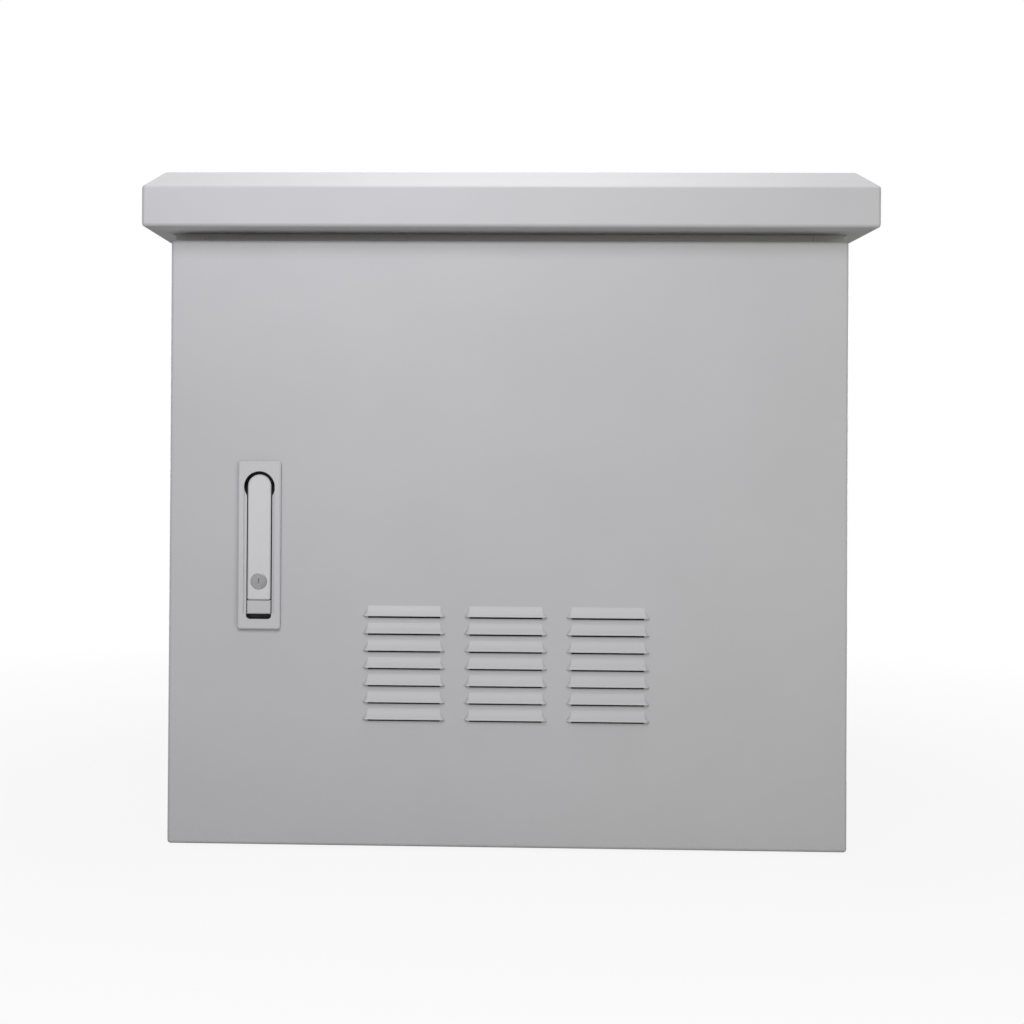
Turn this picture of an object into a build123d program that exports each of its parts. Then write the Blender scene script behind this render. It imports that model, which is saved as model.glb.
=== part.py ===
from build123d import *
from math import atan2, degrees, radians, tan
import os

# Roadside utility cabinet: a folded sheet-steel housing under a rain hood, with a
# full-overlay louvred door on concealed hinges and a swing-handle lock.
# Millimetres, +Z up, the door faces -Y, origin at the bottom centre of the whole.

os.makedirs("parts", exist_ok=True)

# Sheet, fits and clearances
sheet = 1.5
fold_radius = 3.0
overrun = 1.0
seat_gap = 0.3
running_fit = 0.05
bolt_fit = 0.25
cutout_fit = 0.4
frame_gap = 0.6

# Housing
body_width = 600.0
body_depth = 400.0
body_top_rise = 12.0
pan_flange = 20.0
pan_corner_radius = 4.0

# Door
door_height = 537.0
door_sill_gap = 3.0
door_skirt_depth = 18.0
door_frame_gap = 5.0
stiffener_inset = 125.0
stiffener_width = 25.0
stiffener_depth = 12.0
stiffener_end_gap = 12.0

# Door seal and the doorway lip that it closes on
gasket_inset = 26.0
gasket_width = 12.0
gasket_thickness = 8.0
gasket_corner_radius = 8.0

# Rain hood
hood_side_overhang = 20.0
hood_front_overhang = 35.0
hood_rear_overhang = 20.0
hood_door_gap = 8.0
hood_body_gap = 2.5
hood_fascia_height = 35.0
hood_bevel_rise = 15.0
hood_bevel_inset = 18.0
hood_stud_radius = 4.0
hood_stud_inset = 80.0
hood_stud_depth_inset = 60.0
hood_stud_tail = 4.0
hood_spacer_radius = 10.0
hood_nut_radius = 7.5
hood_nut_height = 6.5

# Vent slots in the top, sheltered by the hood
vent_slot_length = 60.0
vent_slot_width = 6.0
vent_end_gap = 20.0
vent_side_gap = 10.0
vent_columns = 4
vent_rows = 3

# Base: anchor holes and cable entry
anchor_inset = 60.0
anchor_depth_inset = 50.0
anchor_hole_radius = 6.5
gland_cutout_width = 250.0
gland_cutout_depth = 90.0
gland_plate_margin = 16.0
gland_plate_thickness = 2.0
gland_rear_inset = 110.0
gland_screw_radius = 2.5
gland_screw_head_radius = 4.5
gland_screw_head_height = 2.6
grommet_count = 3
grommet_rim_gap = 26.0
grommet_hole_radius = 20.0
grommet_lip = 5.0
grommet_flange = 1.2
grommet_cone_height = 9.0
grommet_cone_top_radius = 8.0
grommet_wall = 1.6

# Equipment rails
rack_hole_inset = 67.45
rack_unit_height = 44.45
rack_unit_count = 9
rack_hole_size = 9.5
rack_hole_offset = 15.875
rail_flange = 25.0
rail_edge_to_hole = 8.0
rail_web = 30.0
rail_thickness = 2.0
rail_setback = 60.0
rail_lift = 70.0
rail_bracket_height = 40.0
rail_bracket_inset = 45.0
rail_bracket_wall_flange = 30.0
rail_screw_radius = 3.0
rail_screw_head_radius = 5.5
rail_screw_head_height = 3.5
rail_screw_tail = 5.0

# Earth terminal
earth_stud_radius = 4.0
earth_stud_length = 32.0
earth_stud_inset_x = 60.0
earth_stud_inset_y = 60.0
earth_nut_radius = 7.5
earth_nut_height = 6.0
earth_washer_radius = 9.0
earth_washer_thickness = 1.6

# Concealed hinges
hinge_axis_inset = 9.0
hinge_heights_share = (0.2, 0.796)
hinge_knuckle_length = 20.0
hinge_knuckle_radius = 5.0
hinge_pin_radius = 3.0
hinge_pin_head_radius = 4.6
hinge_pin_head_height = 2.0
hinge_leaf_thickness = 2.0
hinge_plate_end = 13.0
hinge_arm_outer = 1.2
hinge_plate_lip_gap = 1.5
hinge_door_leaf_outer = 6.0
hinge_door_leaf_gap = 1.0
hinge_notch_clearance = 2.0
hinge_screw_radius = 2.5
hinge_screw_head_radius = 4.0
hinge_screw_head_height = 2.5
hinge_screw_length = 10.0

# Pressed louvres
louvre_side_inset = 173.5
louvre_column_gap = 17.0
louvre_height = 9.0
louvre_rise = 4.5
louvre_columns = 3
louvre_rows = 7
louvre_row_gap = 6.2
louvre_lowest_slit = 113.0
louvre_slot_drop = 2.0

# Dust filter behind the louvres
filter_margin_x = 12.0
filter_margin_z = 12.0
filter_thickness = 7.0
filter_frame_lip = 8.0
filter_tab_width = 16.0
filter_stud_radius = 2.0
filter_stud_tail = 2.0
filter_nut_radius = 4.0
filter_nut_height = 3.0

# Swing-handle lock: plate and dished recess
handle_inset = 81.0
handle_height = 266.0
handle_plate_width = 38.0
handle_plate_height = 149.0
handle_plate_thickness = 4.0
handle_plate_corner = 2.5
handle_plate_bevel = 1.2
handle_seal_thickness = 1.0
recess_width = 27.5
recess_height = 131.0
recess_depth = 14.5
recess_bottom_corner = 3.5
channel_width = 22.6
ledge_depth = 3.0
ledge_rise = 5.0
dish_wall = 1.5
dish_floor = 2.5
lock_bracket_margin = 8.0
lock_bracket_thickness = 2.0
lock_screw_radius = 2.0
lock_screw_head_radius = 3.5
lock_screw_head_height = 2.4
lock_screw_bite = 3.0

# Lever, lock barrel and release button
lever_width = 20.4
lever_length = 111.0
lever_thickness = 9.0
lever_top_gap = 3.0
lever_face_setback = 1.0
lever_edge_bevel = 1.0
lever_foot_corner = 1.5
lever_back_round = 4.0
lever_pin_drop = 6.0
lever_pin_radius = 2.0
lever_pin_bite = 1.7
barrel_radius = 7.3
barrel_rise = 16.5
barrel_proud = 0.4
barrel_face_bevel = 0.5
barrel_groove_radius = 5.6
barrel_groove_width = 0.6
barrel_groove_depth = 0.5
key_slot_length = 5.4
key_slot_width = 1.2
key_slot_depth = 3.0
button_width = 21.0
button_height = 11.8
button_thickness = 9.0
button_lever_gap = 0.6
button_edge_bevel = 0.8
button_stem_radius = 3.0

# Latch behind the door
spindle_head_radius = 9.0
spindle_head_height = 1.2
spindle_radius = 6.0
spindle_square = 8.0
spindle_square_tail = 0.5
cam_length = 72.0
cam_width = 20.0
cam_thickness = 3.0
cam_bolt_radius = 2.5
cam_bolt_head_radius = 7.0
cam_bolt_head_height = 3.0
cam_bolt_bite = 8.0

# Heights
door_bottom = door_sill_gap
door_top = door_bottom + door_height
door_mid = door_bottom + door_height / 2
hood_bottom = door_top + hood_door_gap
hood_eave = hood_bottom + hood_fascia_height
hood_top = hood_eave + hood_bevel_rise
body_height = hood_bottom + body_top_rise

# Depths, front to back
door_stack = door_skirt_depth + door_frame_gap
hood_depth = hood_front_overhang + door_stack + body_depth + hood_rear_overhang
door_face = -hood_depth / 2 + hood_front_overhang
door_back = door_face + sheet
frame_face = door_face + door_stack
frame_back = frame_face + sheet
body_rear = frame_face + body_depth
body_mid = frame_face + body_depth / 2

# Widths
hood_width = body_width + 2 * hood_side_overhang
inner_width = body_width - 2 * sheet
inner_depth = body_rear - sheet - frame_back
inner_mid = frame_back + inner_depth / 2
anchor_spacing_x = body_width - 2 * anchor_inset
anchor_spacing_y = body_depth - 2 * anchor_depth_inset
hood_stud_spacing_x = body_width - 2 * hood_stud_inset
hood_stud_spacing_y = body_depth - 2 * hood_stud_depth_inset

# Doorway lip that meets the middle of the door seal
lip_width = body_width - 2 * gasket_inset
lip_height = door_height - 2 * gasket_inset
lip_length = door_stack - sheet - gasket_thickness - seat_gap

# Hinge axis, leaf plates and screws
hinge_x = body_width / 2 - hinge_axis_inset
hinge_y = door_face + hinge_axis_inset
hinge_heights = {
    "lower": door_bottom + hinge_heights_share[0] * door_height,
    "upper": door_bottom + hinge_heights_share[1] * door_height,
}
hinge_plate_inner_x = lip_width / 2 + sheet / 2 + hinge_plate_lip_gap
hinge_plate_outer_x = hinge_x + hinge_arm_outer
hinge_plate_front = frame_face - hinge_leaf_thickness
hinge_length = 3 * hinge_knuckle_length
hinge_plate_length = hinge_length + 2 * hinge_plate_end
hinge_screw_x = hinge_plate_inner_x + (hinge_x - hinge_knuckle_radius - hinge_plate_inner_x) / 2
hinge_screw_reach = hinge_length / 2 + hinge_plate_end / 2
hinge_door_leaf_inner_x = body_width / 2 - gasket_inset + gasket_width / 2 + hinge_door_leaf_gap
hinge_door_leaf_outer_x = hinge_x + hinge_door_leaf_outer
hinge_notch_height = hinge_plate_length + 2 * hinge_notch_clearance


def upright(y):
    """Vertical work plane at depth y: local X is X, local Y is Z, its normal faces the front."""
    return Plane.XZ.offset(-y)


def finish(builder, label):
    """Name a finished piece and write it out."""
    builder.part.label = label
    export_step(builder.part, "parts/" + label + ".step")


# Body wrap: one sheet folded to two sides and the back, open at the front
with BuildPart() as body_wrap:
    with BuildSketch() as wrap_outside:
        with Locations((0, body_mid)):
            Rectangle(body_width, body_depth)
        fillet(wrap_outside.vertices().group_by(Axis.Y)[-1], radius=fold_radius)
    extrude(amount=body_height)
    with BuildSketch() as wrap_inside:
        with Locations((0, body_mid - sheet)):
            Rectangle(inner_width, body_depth)
        fillet(wrap_inside.vertices().group_by(Axis.Y)[-1], radius=fold_radius - sheet)
    extrude(amount=body_height, mode=Mode.SUBTRACT)
finish(body_wrap, "body_wrap")

# Top panel: a pan with its flanges turned down, pierced by sheltered vent slots
with BuildPart() as top_panel:
    with BuildSketch(Plane.XY.offset(body_height)) as top_outside:
        with Locations((0, inner_mid)):
            Rectangle(inner_width, inner_depth)
        fillet(top_outside.vertices(), radius=pan_corner_radius)
    extrude(amount=-pan_flange)
    with BuildSketch(Plane.XY.offset(body_height - sheet)) as top_inside:
        with Locations((0, inner_mid)):
            Rectangle(inner_width - 2 * sheet, inner_depth - 2 * sheet)
        fillet(top_inside.vertices(), radius=pan_corner_radius - sheet)
    extrude(amount=-pan_flange, mode=Mode.SUBTRACT)
    with BuildSketch(Plane.XY.offset(body_height)):
        with Locations((0, body_mid)):
            with GridLocations(
                vent_slot_length + vent_end_gap, vent_slot_width + vent_side_gap, vent_columns, vent_rows
            ):
                SlotOverall(vent_slot_length, vent_slot_width)
            with GridLocations(hood_stud_spacing_x, hood_stud_spacing_y, 2, 2):
                Circle(hood_stud_radius + bolt_fit)
    extrude(amount=-(sheet + overrun), mode=Mode.SUBTRACT)
finish(top_panel, "top_panel")

# Base panel: a pan with its flanges turned up, with anchor holes and the cable cut-out
gland_y = body_rear - gland_rear_inset
grommet_pitch = 2 * (grommet_hole_radius + grommet_lip) + grommet_rim_gap
gland_plate_width = gland_cutout_width + 2 * gland_plate_margin
gland_plate_depth = gland_cutout_depth + 2 * gland_plate_margin
gland_screw_spacing_x = (gland_cutout_width + gland_plate_margin) / 2
gland_screw_spacing_y = gland_cutout_depth + gland_plate_margin
with BuildPart() as base_panel:
    with BuildSketch() as base_outside:
        with Locations((0, inner_mid)):
            Rectangle(inner_width, inner_depth)
        fillet(base_outside.vertices(), radius=pan_corner_radius)
    extrude(amount=pan_flange)
    with BuildSketch(Plane.XY.offset(sheet)) as base_inside:
        with Locations((0, inner_mid)):
            Rectangle(inner_width - 2 * sheet, inner_depth - 2 * sheet)
        fillet(base_inside.vertices(), radius=pan_corner_radius - sheet)
    extrude(amount=pan_flange, mode=Mode.SUBTRACT)
    with BuildSketch():
        with Locations((0, body_mid)):
            with GridLocations(anchor_spacing_x, anchor_spacing_y, 2, 2):
                Circle(anchor_hole_radius)
        with Locations((0, gland_y)):
            Rectangle(gland_cutout_width, gland_cutout_depth)
            with GridLocations(gland_screw_spacing_x, gland_screw_spacing_y, 3, 2):
                Circle(gland_screw_radius + bolt_fit)
    extrude(amount=sheet + overrun, mode=Mode.SUBTRACT)
finish(base_panel, "base_panel")

# Front frame: jambs, head and sill, each a folded angle whose forward lip meets the door seal
lip_inner_width = lip_width - sheet
lip_inner_height = lip_height - sheet
jamb_width = (inner_width - lip_inner_width) / 2
cross_length = lip_inner_width - 2 * seat_gap
sill_height = door_mid - lip_inner_height / 2
head_height = body_height - door_mid - lip_inner_height / 2
with BuildPart() as front_frame:
    with BuildSketch(upright(frame_back)):
        with Locations((0, body_height / 2)):
            with GridLocations(lip_inner_width + jamb_width, body_height, 2, 1):
                Rectangle(jamb_width, body_height)
        with Locations((0, sill_height / 2)):
            Rectangle(cross_length, sill_height)
        with Locations((0, body_height - head_height / 2)):
            Rectangle(cross_length, head_height)
    extrude(amount=sheet)
    with BuildSketch(upright(frame_face)):
        with Locations((0, door_mid)):
            with GridLocations(lip_width, lip_height, 2, 1):
                Rectangle(sheet, lip_height + sheet)
            with GridLocations(lip_width, lip_height, 1, 2):
                Rectangle(cross_length, sheet)
    extrude(amount=lip_length)
    with BuildSketch(upright(frame_back)):
        for height in hinge_heights.values():
            with Locations((hinge_screw_x, height)):
                with GridLocations(hinge_screw_radius, 2 * hinge_screw_reach, 1, 2):
                    Circle(hinge_screw_radius + bolt_fit)
    extrude(amount=sheet, mode=Mode.SUBTRACT)
finish(front_frame, "front_frame")

# Rain hood: folded tray with a bevelled top and a soffit returned to the body
hood_taper = degrees(atan2(hood_bevel_inset, hood_bevel_rise))


def hood_block(inset, radius):
    """Closed hood form, its faces moved inwards by inset and all its folds rounded."""
    eave = hood_eave - inset * tan(radians(hood_taper / 2))
    with BuildPart() as block:
        with BuildSketch(Plane.XY.offset(hood_bottom + inset)):
            Rectangle(hood_width - 2 * inset, hood_depth - 2 * inset)
        extrude(amount=eave - hood_bottom - inset)
        with BuildSketch(Plane.XY.offset(eave)):
            Rectangle(hood_width - 2 * inset, hood_depth - 2 * inset)
        extrude(amount=hood_top - inset - eave, taper=hood_taper)
        fillet(block.edges(), radius=radius)
    return block.part


hood_outside = hood_block(0, fold_radius)
hood_inside = hood_block(sheet, fold_radius - sheet)
with BuildPart() as rain_hood:
    add(hood_outside)
    add(hood_inside, mode=Mode.SUBTRACT)
    with BuildSketch(Plane.XY.offset(hood_bottom)):
        with Locations((0, body_mid)):
            Rectangle(body_width + 2 * hood_body_gap, body_depth + 2 * hood_body_gap)
    extrude(amount=sheet + overrun, mode=Mode.SUBTRACT)
finish(rain_hood, "rain_hood")

# Hood fixings: welded studs, spacer tubes on the top panel, nuts inside
stud_grid_plane = Plane.XY.offset(hood_top - sheet)
spacer_height = hood_top - sheet - body_height
with BuildPart() as hood_studs:
    with BuildSketch(stud_grid_plane):
        with Locations((0, body_mid)):
            with GridLocations(hood_stud_spacing_x, hood_stud_spacing_y, 2, 2):
                Circle(hood_stud_radius)
    extrude(amount=-(spacer_height + sheet + hood_nut_height + hood_stud_tail))
finish(hood_studs, "hood_studs")

with BuildPart() as hood_spacers:
    with BuildSketch(Plane.XY.offset(body_height)):
        with Locations((0, body_mid)):
            with GridLocations(hood_stud_spacing_x, hood_stud_spacing_y, 2, 2):
                Circle(hood_spacer_radius)
                Circle(hood_stud_radius + bolt_fit, mode=Mode.SUBTRACT)
    extrude(amount=spacer_height)
finish(hood_spacers, "hood_spacers")

with BuildPart() as hood_nuts:
    with BuildSketch(Plane.XY.offset(body_height - sheet)):
        with Locations((0, body_mid)):
            with GridLocations(hood_stud_spacing_x, hood_stud_spacing_y, 2, 2):
                RegularPolygon(hood_nut_radius, 6)
                Circle(hood_stud_radius + running_fit, mode=Mode.SUBTRACT)
    extrude(amount=-hood_nut_height)
finish(hood_nuts, "hood_nuts")

# Gland plate over the cable cut-out, its screws and its cable grommets
with BuildPart() as gland_plate:
    with BuildSketch(Plane.XY.offset(sheet)):
        with Locations((0, gland_y)):
            RectangleRounded(gland_plate_width, gland_plate_depth, pan_corner_radius)
            with GridLocations(gland_screw_spacing_x, gland_screw_spacing_y, 3, 2):
                Circle(gland_screw_radius + bolt_fit, mode=Mode.SUBTRACT)
            with GridLocations(grommet_pitch, grommet_pitch, grommet_count, 1):
                Circle(grommet_hole_radius, mode=Mode.SUBTRACT)
    extrude(amount=gland_plate_thickness)
finish(gland_plate, "gland_plate")

gland_plate_top = sheet + gland_plate_thickness
with BuildPart() as gland_plate_screws:
    with BuildSketch():
        with Locations((0, gland_y)):
            with GridLocations(gland_screw_spacing_x, gland_screw_spacing_y, 3, 2):
                Circle(gland_screw_radius)
    extrude(amount=gland_plate_top)
    with BuildSketch(Plane.XY.offset(gland_plate_top)):
        with Locations((0, gland_y)):
            with GridLocations(gland_screw_spacing_x, gland_screw_spacing_y, 3, 2):
                Circle(gland_screw_head_radius)
    extrude(amount=gland_screw_head_height)
finish(gland_plate_screws, "gland_plate_screws")

# A grommet is a moulded cone with a groove that grips the plate and a closed membrane on top
grommet_neck = grommet_hole_radius - running_fit
grommet_rim = grommet_hole_radius + grommet_lip
grommet_low = sheet - grommet_flange
grommet_shoulder = gland_plate_top + grommet_flange
grommet_tip = grommet_shoulder + grommet_cone_height
with BuildPart() as grommet:
    with BuildSketch(Plane.XZ):
        with BuildLine():
            Polyline(
                (0, grommet_tip),
                (grommet_cone_top_radius, grommet_tip),
                (grommet_neck, grommet_shoulder),
                (grommet_rim, grommet_shoulder),
                (grommet_rim, gland_plate_top),
                (grommet_neck, gland_plate_top),
                (grommet_neck, sheet),
                (grommet_rim, sheet),
                (grommet_rim, grommet_low),
                (grommet_neck - grommet_wall, grommet_low),
                (grommet_neck - grommet_wall, grommet_shoulder - grommet_wall),
                (grommet_cone_top_radius - grommet_wall, grommet_tip - grommet_wall),
                (0, grommet_tip - grommet_wall),
                close=True,
            )
        make_face()
    revolve(axis=Axis.Z)
with BuildPart() as cable_grommets:
    with Locations((0, gland_y)):
        with GridLocations(grommet_pitch, grommet_pitch, grommet_count, 1):
            add(grommet.part)
finish(cable_grommets, "cable_grommets")

# Equipment rails: angle sections with square holes, on brackets from the side walls
rail_height = rack_unit_count * rack_unit_height
rail_bottom = rail_lift
rail_top = rail_bottom + rail_height
rail_face = frame_back + rail_setback
rail_hole_x = body_width / 2 - rack_hole_inset
rail_inner_x = rail_hole_x - rail_edge_to_hole
rail_outer_x = rail_inner_x + rail_flange
rail_rear = rail_face + rail_web
wall_x = body_width / 2 - sheet
bracket_heights = {
    "lower": rail_bottom + rail_bracket_inset,
    "upper": rail_top - rail_bracket_inset,
}
sides = {"left": -1, "right": 1}
rail_screw_y = rail_face + rail_web / 2

for side, sign in sides.items():
    with BuildPart() as rack_rail:
        with BuildSketch(Plane.XY.offset(rail_bottom)):
            with Locations((sign * (rail_inner_x + rail_flange / 2), rail_face + rail_thickness / 2)):
                Rectangle(rail_flange, rail_thickness)
            with Locations((sign * (rail_outer_x - rail_thickness / 2), rail_face + rail_web / 2)):
                Rectangle(rail_thickness, rail_web)
        extrude(amount=rail_height)
        with BuildSketch(upright(rail_face)):
            with Locations((sign * rail_hole_x, rail_bottom + rail_height / 2)):
                with GridLocations(rack_unit_height, rack_unit_height, 1, rack_unit_count):
                    with Locations((0, 0), (0, rack_hole_offset), (0, -rack_hole_offset)):
                        Rectangle(rack_hole_size, rack_hole_size)
        extrude(amount=-rail_thickness, mode=Mode.SUBTRACT)
        with BuildSketch(Plane.YZ.offset(sign * rail_outer_x)):
            with Locations(*[(rail_screw_y, z) for z in bracket_heights.values()]):
                Circle(rail_screw_radius + bolt_fit)
        extrude(amount=-sign * rail_thickness, mode=Mode.SUBTRACT)
    finish(rack_rail, "rack_rail_" + side)

    for level, height in bracket_heights.items():
        with BuildPart() as rail_bracket:
            with BuildSketch(Plane.XY.offset(height - rail_bracket_height / 2)):
                with Locations((sign * (rail_outer_x + sheet / 2), rail_rear - rail_web / 2)):
                    Rectangle(sheet, rail_web)
                with Locations((sign * (rail_outer_x + wall_x) / 2, rail_rear + sheet / 2)):
                    Rectangle(wall_x - rail_outer_x, sheet)
                with Locations((sign * (wall_x - sheet / 2), rail_rear + rail_bracket_wall_flange / 2)):
                    Rectangle(sheet, rail_bracket_wall_flange)
            extrude(amount=rail_bracket_height)
            with BuildSketch(Plane.YZ.offset(sign * rail_outer_x)):
                with Locations((rail_screw_y, height)):
                    Circle(rail_screw_radius + bolt_fit)
            extrude(amount=sign * sheet, mode=Mode.SUBTRACT)
        finish(rail_bracket, "rail_bracket_" + side + "_" + level)

with BuildPart() as rail_screws:
    for sign in sides.values():
        with BuildSketch(Plane.YZ.offset(sign * (rail_outer_x - rail_thickness))):
            with Locations(*[(rail_screw_y, z) for z in bracket_heights.values()]):
                Circle(rail_screw_radius)
        extrude(amount=sign * (rail_thickness + sheet + rail_screw_tail))
        with BuildSketch(Plane.YZ.offset(sign * (rail_outer_x - rail_thickness))):
            with Locations(*[(rail_screw_y, z) for z in bracket_heights.values()]):
                Circle(rail_screw_head_radius)
        extrude(amount=-sign * rail_screw_head_height)
finish(rail_screws, "rail_screws")

# Earth terminal: a stud welded to the base, with two nuts and a washer
earth_x = -(body_width / 2 - earth_stud_inset_x)
earth_y = frame_back + earth_stud_inset_y
with BuildPart() as earth_stud:
    with BuildSketch(Plane.XY.offset(sheet)):
        with Locations((earth_x, earth_y)):
            Circle(earth_stud_radius)
    extrude(amount=earth_stud_length)
    chamfer(earth_stud.edges().group_by(Axis.Z)[-1], length=sheet / 2)
finish(earth_stud, "earth_stud")

earth_low_nut_top = sheet + earth_nut_height
earth_washer_top = earth_low_nut_top + earth_washer_thickness
with BuildPart() as earth_nuts:
    for nut_base in (sheet, earth_washer_top):
        with BuildSketch(Plane.XY.offset(nut_base)):
            with Locations((earth_x, earth_y)):
                RegularPolygon(earth_nut_radius, 6)
                Circle(earth_stud_radius + running_fit, mode=Mode.SUBTRACT)
        extrude(amount=earth_nut_height)
finish(earth_nuts, "earth_nuts")

with BuildPart() as earth_washer:
    with BuildSketch(Plane.XY.offset(earth_low_nut_top)):
        with Locations((earth_x, earth_y)):
            Circle(earth_washer_radius)
            Circle(earth_stud_radius + bolt_fit, mode=Mode.SUBTRACT)
    extrude(amount=earth_washer_thickness)
finish(earth_washer, "earth_washer")

# Concealed hinges: a fork on the frame, a knuckle on the door and a headed pin
for level, height in hinge_heights.items():
    with BuildPart() as hinge_leaf_body:
        with BuildSketch(upright(frame_face)):
            with Locations(((hinge_plate_inner_x + hinge_plate_outer_x) / 2, height)):
                Rectangle(hinge_plate_outer_x - hinge_plate_inner_x, hinge_plate_length)
            with Locations((hinge_screw_x, height)):
                with GridLocations(hinge_screw_radius, 2 * hinge_screw_reach, 1, 2):
                    Circle(hinge_screw_radius + bolt_fit, mode=Mode.SUBTRACT)
        extrude(amount=hinge_leaf_thickness)
        for step in (-1, 1):
            with BuildSketch(Plane.XY.offset(height + step * hinge_knuckle_length / 2)) as fork:
                with Locations((hinge_x, hinge_y)):
                    Circle(hinge_knuckle_radius)
                arm_left = hinge_x - hinge_knuckle_radius
                with Locations(((arm_left + hinge_plate_outer_x) / 2, (hinge_y + hinge_plate_front) / 2)):
                    Rectangle(hinge_plate_outer_x - arm_left, hinge_plate_front - hinge_y)
                with Locations((hinge_x, hinge_y)):
                    Circle(hinge_pin_radius + running_fit, mode=Mode.SUBTRACT)
            extrude(amount=step * hinge_knuckle_length)
    finish(hinge_leaf_body, "hinge_leaf_body_" + level)

    with BuildPart() as hinge_leaf_door:
        with BuildSketch(upright(door_back)):
            with Locations(((hinge_door_leaf_inner_x + hinge_door_leaf_outer_x) / 2, height)):
                Rectangle(hinge_door_leaf_outer_x - hinge_door_leaf_inner_x, hinge_length)
        extrude(amount=-hinge_leaf_thickness)
        knuckle_height = hinge_knuckle_length - 2 * seat_gap
        with BuildSketch(Plane.XY.offset(height - knuckle_height / 2)):
            with Locations((hinge_x, hinge_y)):
                Circle(hinge_knuckle_radius)
            with Locations((hinge_x, (hinge_y + door_back) / 2)):
                Rectangle(2 * hinge_knuckle_radius, hinge_y - door_back)
            with Locations((hinge_x, hinge_y)):
                Circle(hinge_pin_radius + running_fit, mode=Mode.SUBTRACT)
        extrude(amount=knuckle_height)
    finish(hinge_leaf_door, "hinge_leaf_door_" + level)

    with BuildPart() as hinge_pin:
        with BuildSketch(Plane.XY.offset(height - hinge_length / 2)):
            with Locations((hinge_x, hinge_y)):
                Circle(hinge_pin_radius)
        extrude(amount=hinge_length)
        with BuildSketch(Plane.XY.offset(height + hinge_length / 2)):
            with Locations((hinge_x, hinge_y)):
                Circle(hinge_pin_head_radius)
        extrude(amount=hinge_pin_head_height)
    finish(hinge_pin, "hinge_pin_" + level)

with BuildPart() as hinge_screws:
    for height in hinge_heights.values():
        for reach in (-hinge_screw_reach, hinge_screw_reach):
            with BuildSketch(upright(hinge_plate_front)):
                with Locations((hinge_screw_x, height + reach)):
                    Circle(hinge_screw_radius)
            extrude(amount=-hinge_screw_length)
            with BuildSketch(upright(hinge_plate_front)):
                with Locations((hinge_screw_x, height + reach)):
                    Circle(hinge_screw_head_radius)
            extrude(amount=hinge_screw_head_height)
finish(hinge_screws, "hinge_screws")

# Louvre: a narrow slot is punched along its lower edge and the sheet above it is pressed out.
# Section in depth and height: a flare that leaves the sheet smoothly and ends in the open lip.
louvre_block_width = body_width - 2 * louvre_side_inset
louvre_width = (louvre_block_width - (louvre_columns - 1) * louvre_column_gap) / louvre_columns
louvre_pitch_x = louvre_width + louvre_column_gap
louvre_straight = louvre_width - 2 * louvre_rise
louvre_start = Plane.YZ.offset(-louvre_straight / 2)
louvre_foot = -louvre_height / 2
louvre_head = louvre_height / 2
louvre_slot_foot = louvre_foot - louvre_slot_drop
louvre_flare = (louvre_rise**2 + louvre_height**2) / (2 * louvre_rise)
cavity_flare = louvre_flare + sheet
cavity_head = louvre_head - sheet
cavity_lip = (cavity_flare**2 - louvre_height**2) ** 0.5 - louvre_flare
cavity_back = sheet + overrun
louvre_pitch_z = louvre_height + louvre_row_gap
with BuildPart() as louvre_form:
    with BuildSketch(louvre_start) as louvre_section:
        with BuildLine():
            TangentArc((0, louvre_head), (-louvre_rise, louvre_foot), tangent=(-sheet, -louvre_height))
            Polyline((-louvre_rise, louvre_foot), (0, louvre_foot), (0, louvre_head))
        make_face()
    extrude(amount=louvre_straight)
    for end in (-1, 1):
        end_axis = Axis((end * louvre_straight / 2, 0, 0), (0, 0, 1))
        with BuildSketch(Plane.YZ.offset(end * louvre_straight / 2)):
            add(louvre_section.sketch_local)
        revolve(axis=end_axis, revolution_arc=end * 90)

with BuildPart() as louvre_cavity:
    with BuildSketch(louvre_start) as cavity_section:
        with BuildLine():
            TangentArc((sheet, cavity_head), (cavity_lip, louvre_foot), tangent=(-sheet, -louvre_height))
            Polyline(
                (cavity_lip, louvre_foot),
                (0, louvre_foot),
                (0, louvre_slot_foot),
                (cavity_back, louvre_slot_foot),
                (cavity_back, cavity_head),
                (sheet, cavity_head),
            )
        make_face()
    extrude(amount=louvre_straight)
    for end in (-1, 1):
        end_axis = Axis((end * louvre_straight / 2, 0, 0), (0, 0, 1))
        with BuildSketch(Plane.YZ.offset(end * louvre_straight / 2)):
            add(cavity_section.sketch_local)
            with Locations((-louvre_rise / 2, 0)):
                Rectangle(louvre_rise, louvre_height, mode=Mode.INTERSECT)
        revolve(axis=end_axis, revolution_arc=end * 90)

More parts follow.
